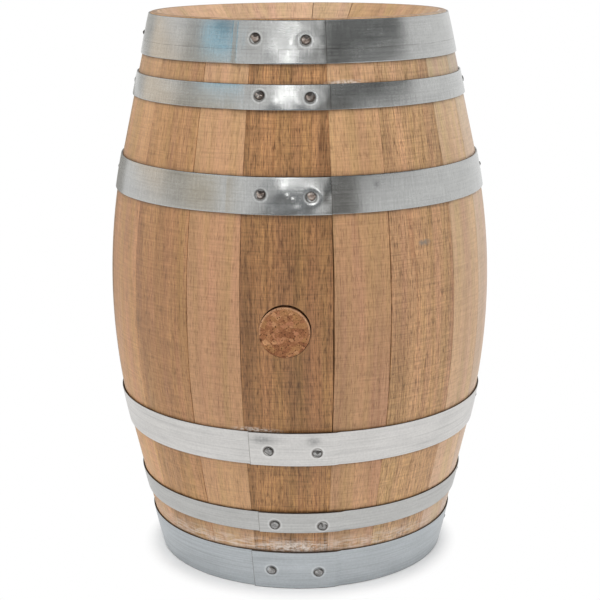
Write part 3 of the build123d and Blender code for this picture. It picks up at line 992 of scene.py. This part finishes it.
def set_of(name, seats, skin, head_radius, head_height, seed):
    """One object of many like fasteners: the skin is hammered afresh for each seat and laid on its axes. Each
    vertex keeps its own place on the head, as a share of the head's radius."""
    draws = np.random.default_rng(seed)
    points, walls, caps = skin
    placed = [origin + hammered(points.copy(), head_height, draws) @ axes for origin, axes in seats]
    first = len(points) * np.arange(len(seats))[:, None, None]
    faces = (walls + first).reshape(-1, 4).tolist() + (caps + first).reshape(-1, 3).tolist()
    fasteners = make_piece(name, np.concatenate(placed), faces, head_sharp)
    note(fasteners.data, "head", np.tile(points / head_radius, (len(seats), 1)))
    return fasteners


rivet_profile = headed_profile(
    rivet_head_radius,
    rivet_head_height,
    rivet_rim,
    rivet_shank_radius,
    -rivet_shank_length,
    -rivet_shank_length,
    rivet_steps,
)
rivet_seats = []
for name in hoop_names:
    lap_turn, rivet_lift = lap_turn_and_rivet_lift[name]
    for side in (-1, 1):
        turn = math.radians(lap_turn) + side * rivet_spacing / 2 / hoop_cone(name)[0]
        rivet_seats.append(hoop_seat(name, turn, layers=2, lift=rivet_lift - side * rivet_drift / 2))
rivet_skin = turned_skin(*rivet_profile, rivet_sides)
rivets = set_of("hoop_rivets_set", rivet_seats, rivet_skin, rivet_head_radius, rivet_head_height, rivet_seed)
rivet_steel, tree, shader = new_material("rivet_steel")
spot = own_place(tree)
tarnish = noise(tree, spot, (260, 260, 260), 4.0, 0.65)
brown = ramp(tree, tarnish, (0.3, (0.16, 0.11, 0.09)), (0.5, (0.33, 0.27, 0.235)), (0.7, (0.66, 0.61, 0.57)))
grey = ramp(tree, tarnish, (0.3, (0.15, 0.145, 0.14)), (0.5, (0.29, 0.285, 0.28)), (0.7, (0.52, 0.52, 0.51)))
level = reckon(tree, "DIVIDE", parts_of(tree, spot)[2], barrel_height)
colour = lay(tree, ramp(tree, level, (0.45, 0.0), (0.55, 1.0)), grey, brown)
side, rise, _ = parts_of(tree, noted(tree, "head"))
rim = reckon(tree, "SQRT", scaled(tree, side, side, times(tree, rise, rise)))
# Painted shade: each head's rim darkens, most on its lower side.
rim_shade = ramp(tree, scaled(tree, rise, -0.12, rim), (0.62, 0.0), (0.92, 0.92))
colour = lay(tree, rim_shade, colour, (0.045, 0.036, 0.03))
worn = ramp(tree, tarnish, (0.3, 0.32), (0.7, 0.14))
dints = bumped(tree, noise(tree, spot, (900, 900, 900), 2.0), 0.00006)
finish_with(tree, shader, Base_Color=colour, Metallic=1.0, Roughness=worn, Normal=dints)
rivets.data.materials.append(rivet_steel)
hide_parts("hoop_rivets")
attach(rivets, "cask")


# Hoop nails. Short iron nails with small domed heads, one on each side of every hoop, driven through a hole
# in the strip into the stave behind so that the hoop can't slip. They are dark with scale.
nail_head_radius = 0.0031
nail_head_height = 0.0019
nail_rim = 0.0004
nail_shank_radius = 0.0012
nail_length = 0.02
nail_point = 0.004
nail_steps = 9
nail_sides = 20
nail_seed = 9
nail_turns = {"upper_head_hoop": 8.0, "upper_quarter_hoop": 3.0, "upper_bilge_hoop": 3.0}

nail_profile = headed_profile(
    nail_head_radius,
    nail_head_height,
    nail_rim,
    nail_shank_radius,
    nail_point - nail_length,
    -nail_length,
    nail_steps,
)
nail_seats = []
for name in hoop_names:
    for side in (-1, 1):
        turn = math.radians(nail_turns.get(name, 0.0)) + side * math.pi / 2
        nail_seats.append(hoop_seat(name, turn, layers=1))
nail_skin = turned_skin(*nail_profile, nail_sides)
nails = set_of("hoop_nails_set", nail_seats, nail_skin, nail_head_radius, nail_head_height, nail_seed)
nail_iron, tree, shader = new_material("nail_iron")
scale = noise(tree, own_place(tree), (420, 420, 420), 4.0, 0.7)
colour = ramp(tree, scale, (0.3, (0.045, 0.038, 0.033)), (0.6, (0.1, 0.09, 0.08)), (0.75, (0.2, 0.18, 0.16)))
worn = ramp(tree, scale, (0.3, 0.6), (0.7, 0.4))
scaly = bumped(tree, scale, 0.0002)
finish_with(tree, shader, Base_Color=colour, Metallic=0.9, Roughness=worn, Normal=scaly)
nails.data.materials.append(nail_iron)
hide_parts("hoop_nails")
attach(nails, "cask")


# Bung. A tapered plug of agglomerated cork: granules of many browns pressed and glued, ground to shape, with
# a rounded rim. It is pushed into the bung hole a little low and askew, so that its upper edge sits deeper
# than its lower.
cork_radius = 0.02485
cork_length = 0.0336
cork_rim = 0.0013
cork_face = 0.1989
cork_drop = np.array([-0.0002, -0.0002])
cork_lean = 0.0005 / cork_radius
lean_way = (0.3, 0.95)
cork_waves = 0.00006
cork_ripples = ((1900, 3, 900), (2100, 2, 1100))
cork_nick = (-0.0226, -0.0078)
nick_size = 0.0013
nick_depth = 0.0022
face_rings = 26
rim_rings = 7
side_rings = 24
cork_sides = 110
cork_sharp = 50


def ripple(one, other, waves, bend, bends):
    """A sine along one way, pushed to and fro by a sine along the other."""
    return np.sin(one * waves + bend * np.sin(other * bends))


def cork_skin():
    """Skin of the cork about its own axis: a flat face, a quarter-round rim, a tapered side and a flat back,
    with the face leaning back towards the top, roughened by ripples and nicked by a bell at the rim. It also
    gives how deep in the nick each point is."""
    bend = np.linspace(0, math.pi / 2, rim_rings)[1:]
    back = cork_radius - (cork_length - cork_rim) * hole_taper
    side = np.linspace(0, 1, side_rings)[1:]
    flat = cork_radius - cork_rim
    radii = [np.linspace(0, flat, face_rings), flat + cork_rim * np.sin(bend)]
    radii += [cork_radius + (back - cork_radius) * side, [back - cork_rim, 0]]
    heights = [np.zeros(face_rings), cork_rim * (np.cos(bend) - 1)]
    heights += [-cork_rim - (cork_length - 2 * cork_rim) * side, [-cork_length, -cork_length]]
    points, walls, caps = turned_skin(np.concatenate(radii), np.concatenate(heights), cork_sides)
    x, y, z = points.T
    front = smooth_step((z + 2 * cork_rim) / cork_rim)
    waves = ripple(x, y, *cork_ripples[0]) * ripple(y, x, *cork_ripples[1])
    nick = bell((x - cork_nick[0]) / nick_size, (y - cork_nick[1]) / nick_size)
    points[:, 2] += front * (cork_waves * waves - cork_lean * points[:, :2] @ lean_way - nick_depth * nick)
    return points, walls.tolist() + caps.tolist(), nick


points, faces, nicked = cork_skin()
across, up, out = points.T
placed = np.stack([across + cork_drop[0], -(cork_face + out), bung_level + up + cork_drop[1]], 1)
cork = make_piece("cork_bung_plug", placed, faces, cork_sharp)
raised = smooth_step(0.5 + up / cork_radius)
note(cork.data, "plug", np.stack([np.hypot(across, up) / cork_radius, nicked, raised], 1))
agglomerated_cork, tree, shader = new_material("agglomerated_cork")
spot = own_place(tree)
jostle = wire(tree, "TexNoise", {"Vector": spot, "Scale": 300.0, "Detail": 2.0}).outputs["Color"]
shaken = moved(tree, spot, stretch(tree, jostle, (0.002, 0.002, 0.002)))
packed = {"Vector": shaken, "Scale": 240.0}
granules = wire(tree, "TexVoronoi", packed)
pick = parts_of(tree, granules.outputs["Color"])
browns = ramp(
    tree,
    pick[0],
    (0.0, (0.24, 0.095, 0.043)),
    (0.35, (0.31, 0.134, 0.06)),
    (0.6, (0.35, 0.172, 0.07)),
    (0.85, (0.39, 0.17, 0.086)),
    (1.0, (0.5, 0.262, 0.125)),
)
seams = wire(tree, "TexVoronoi", packed, feature="DISTANCE_TO_EDGE").outputs["Distance"]
colour = lay(tree, ramp(tree, seams, (0.0, 0.3), (0.1, 0.0)), browns, (0.18, 0.07, 0.03))
rim, nicked, raised = parts_of(tree, noted(tree, "plug"))
# Painted highlight: the rim is lightened, most at the top.
painted_highlight = times(tree, ramp(tree, rim, (0.9, 0.0), (0.96, 0.55)), raised)
colour = lay(tree, painted_highlight, colour, (0.6, 0.36, 0.21))
flecks = wire(tree, "TexVoronoi", {"Vector": shaken, "Scale": 430.0})
dark = ramp(tree, flecks.outputs["Distance"], (0.16, 1.0), (0.36, 0.0))
some = ramp(tree, parts_of(tree, flecks.outputs["Color"])[1], (0.5, 0.0), (0.75, 1.0))
# Dark flecks, and the nick darkened as painted shade.
fleck_and_nick_shade = reckon(tree, "MAXIMUM", times(tree, dark, some), nicked)
colour = lay(tree, fleck_and_nick_shade, colour, (0.1, 0.036, 0.015))
mottle = noise(tree, spot, (900, 900, 900), 3.0, 0.6)
colour = lay(tree, 0.9, colour, ramp(tree, mottle, (0.3, 0.58), (0.7, 1.36)), "MULTIPLY")
relief = reckon(tree, "SUBTRACT", times(tree, mottle, 0.5), fleck_and_nick_shade)
pitted = bumped(tree, relief, 0.0003)
finish_with(tree, shader, Base_Color=colour, Roughness=0.85, Normal=pitted, Specular_IOR_Level=0.2)
cork.data.materials.append(agglomerated_cork)
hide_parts("cork_bung")
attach(cork, "bung")


# Stage. A wide pale floor, soft light from all round with large lamps, and cards round the barrel that only
# the metal mirrors. The viewpoint is a little to the right of the bung, above the rim and looking down.
floor_reach = 30.0
shadow_middle = (0, -0.015, 0)
shadow_reach = (0.147, 0.174)
floor_corners = np.array([(-1, -1, 0), (1, -1, 0), (1, 1, 0), (-1, 1, 0)]) * floor_reach
floor = make_piece("floor", floor_corners, [[0, 1, 2, 3]])
floor_paint, tree, shader = new_material("pale_floor")
finish_with(tree, shader, Base_Color=(0.95, 0.95, 0.95, 1), Roughness=0.9, Specular_IOR_Level=0.0)


def seen_plainly(tree):
    """1 for light that reaches the camera straight, mirrored or through glass, and 0 for the rest."""
    ray = wire(tree, "LightPath").outputs
    straight = reckon(tree, "MAXIMUM", ray["Is Camera Ray"], ray["Is Glossy Ray"])
    return reckon(tree, "MAXIMUM", straight, ray["Is Transmission Ray"])


apart = wire(tree, "VectorMath", {0: own_place(tree), 1: shadow_middle}, operation="DISTANCE")
away = apart.outputs["Value"]
near, far = shadow_reach
open_floor = wire(tree, "MapRange", {0: away, 1: near, 2: far}, interpolation_type="SMOOTHSTEP").outputs[0]
white = wire(tree, "Emission", {"Color": (1, 1, 1, 1), "Strength": 1.0})
whiteness = times(tree, seen_plainly(tree), open_floor)
either = wire(tree, "MixShader", {0: whiteness, 1: shader.outputs[0], 2: white.outputs[0]})
tree.links.new(either.outputs[0], tree.nodes["Material Output"].inputs["Surface"])
floor.data.materials.append(floor_paint)

world = bpy.data.worlds.new("soft_room")
bpy.context.scene.world = world
world.use_nodes = True
tree = world.node_tree
tree.nodes.clear()
soft = wire(tree, "Background", {"Color": (1, 1, 1, 1), "Strength": 0.6})
white = wire(tree, "Background", {"Color": (1, 1, 1, 1), "Strength": 1.0})
either = wire(tree, "MixShader", {0: seen_plainly(tree), 1: soft.outputs[0], 2: white.outputs[0]})
wire(tree, "OutputWorld", {"Surface": either.outputs[0]})


def seen_from(turn, rise, away):
    """A place at an angle from the bung, an elevation above the barrel's middle, and a distance."""
    turn, rise = np.radians(turn), np.radians(rise)
    return about_axis(away * np.cos(rise), turn, mid_height + away * np.sin(rise))


def lamp(name, turn, rise, away, size, power, mirrored=False):
    """A square area lamp that faces the middle of the barrel, mirrored in the metal only if that is asked."""
    light = bpy.data.lights.new(name, "AREA")
    light.size = size
    light.energy = power
    holder = bpy.data.objects.new(name, light)
    bpy.context.scene.collection.objects.link(holder)
    holder.visible_glossy = mirrored
    place = seen_from(turn, rise, away)
    back = (place - (0, 0, mid_height)) / away
    side = np.cross((0, 0, 1), back)
    side = side / np.linalg.norm(side)
    turned = np.eye(4)
    turned[:3] = np.stack([side, np.cross(back, side), back, place], 1)
    holder.matrix_world = Matrix(turned.tolist())


lamp("front_lamp", -8, 50, 2.0, 0.7, 6.5)
lamp("spark_lamp", -3, 25, 2.0, 0.22, 0.85, mirrored=True)
lamp("left_lamp", -62, 46, 2.2, 1.4, 9)
lamp("right_lamp", 66, 42, 2.2, 1.4, 9.5)
lamp("edge_lamp", 112, 20, 2.2, 1.6, 6.5)
lamp("top_lamp", -20, 75, 2.2, 1.2, 9)


card_columns = 48
card_rows = 12
card_lift = 0.21


def card(name, turns, rises, shade, away=2.6):
    """A card on a sphere round the barrel between two angles and two elevations, seen only when mirrored."""
    turn = np.linspace(*turns, card_columns)[:, None]
    rise = np.linspace(*rises, card_rows)[None, :]
    points = seen_from(turn, rise, away) + (0, 0, card_lift)
    piece = make_piece(name, points.reshape(-1, 3), quads(numbered(points.shape[:2])).tolist())
    paint, tree, shader = new_material(name)
    finish_with(tree, shader, Base_Color=(0, 0, 0, 1), Emission_Color=(*shade, 1), Emission_Strength=1.0)
    finish_with(tree, shader, Roughness=1.0, Specular_IOR_Level=0.0)
    piece.data.materials.append(paint)
    for ray in ("camera", "diffuse", "shadow", "transmission"):
        setattr(piece, "visible_" + ray, False)


card("dark_card", (20, 88), (12, 34), (0.22, 0.225, 0.225), 2.7)
card("dark_band_card", (20, 88), (15.5, 20.5), (0.1, 0.105, 0.105))
card("low_dark_card", (14, 39), (-9, 15), (0.23, 0.222, 0.21))
card("lap_card", (-16, 12), (-9, 14), (0.26, 0.28, 0.3))
card("lap_low_card", (-22, 4), (-9, 4.5), (0.15, 0.15, 0.15), 2.5)
card("grey_card", (-38, -22), (15, 26), (0.8, 0.79, 0.77))
card("blue_card", (-62.9, -39.3), (16.6, 20.8), (0.42, 1.1, 1.5), 0.75)
card("blue_shade_card", (-56, -39.3), (20.8, 27), (0.06, 0.1, 0.14), 0.75)
card("side_card", (-86, -66), (13, 26), (0.66, 0.66, 0.65))
card("low_side_card", (-86, -66), (1, 13), (0.62, 0.57, 0.49))
card("left_card", (-178, -128), (0, 26), (0.64, 0.635, 0.615))
card("low_left_card", (-178, -126), (-26, -3), (0.42, 0.41, 0.385), 1.0)
card("warm_card", (-128, -86), (1, 10.5), (1.05, 0.9, 0.73))
card("warm_shade_card", (-66, -45), (1, 13), (0.76, 0.66, 0.51))
card("ceiling_card", (-180, 180), (42, 86), (0.16, 0.17, 0.18))

photo_pixels = 600
focal_pixels = 1511.7
camera_turn = math.radians(4.27)
camera_distance = 1.5825
camera_height = 0.6602
camera_pitch = math.radians(14.013)
camera_roll = math.radians(0.33)
camera = bpy.data.objects.new("camera", bpy.data.cameras.new("camera"))
bpy.context.scene.collection.objects.link(camera)
camera.data.sensor_fit = "HORIZONTAL"
camera.data.angle = 2 * math.atan(photo_pixels / 2 / focal_pixels)
ahead = np.array([-math.sin(camera_turn), math.cos(camera_turn), 0])
level_right = np.array([math.cos(camera_turn), math.sin(camera_turn), 0])
looking = ahead * math.cos(camera_pitch) - np.array([0, 0, math.sin(camera_pitch)])
upright = np.cross(level_right, looking)
right = level_right * math.cos(camera_roll) - upright * math.sin(camera_roll)
up = level_right * math.sin(camera_roll) + upright * math.cos(camera_roll)
stand = np.array([0, 0, camera_height]) - ahead * camera_distance
view = np.eye(4)
view[:3] = np.stack([right, up, -looking, stand], 1)
camera.matrix_world = Matrix(view.tolist())
bpy.context.scene.camera = camera
bpy.context.scene.view_settings.view_transform = "Standard"
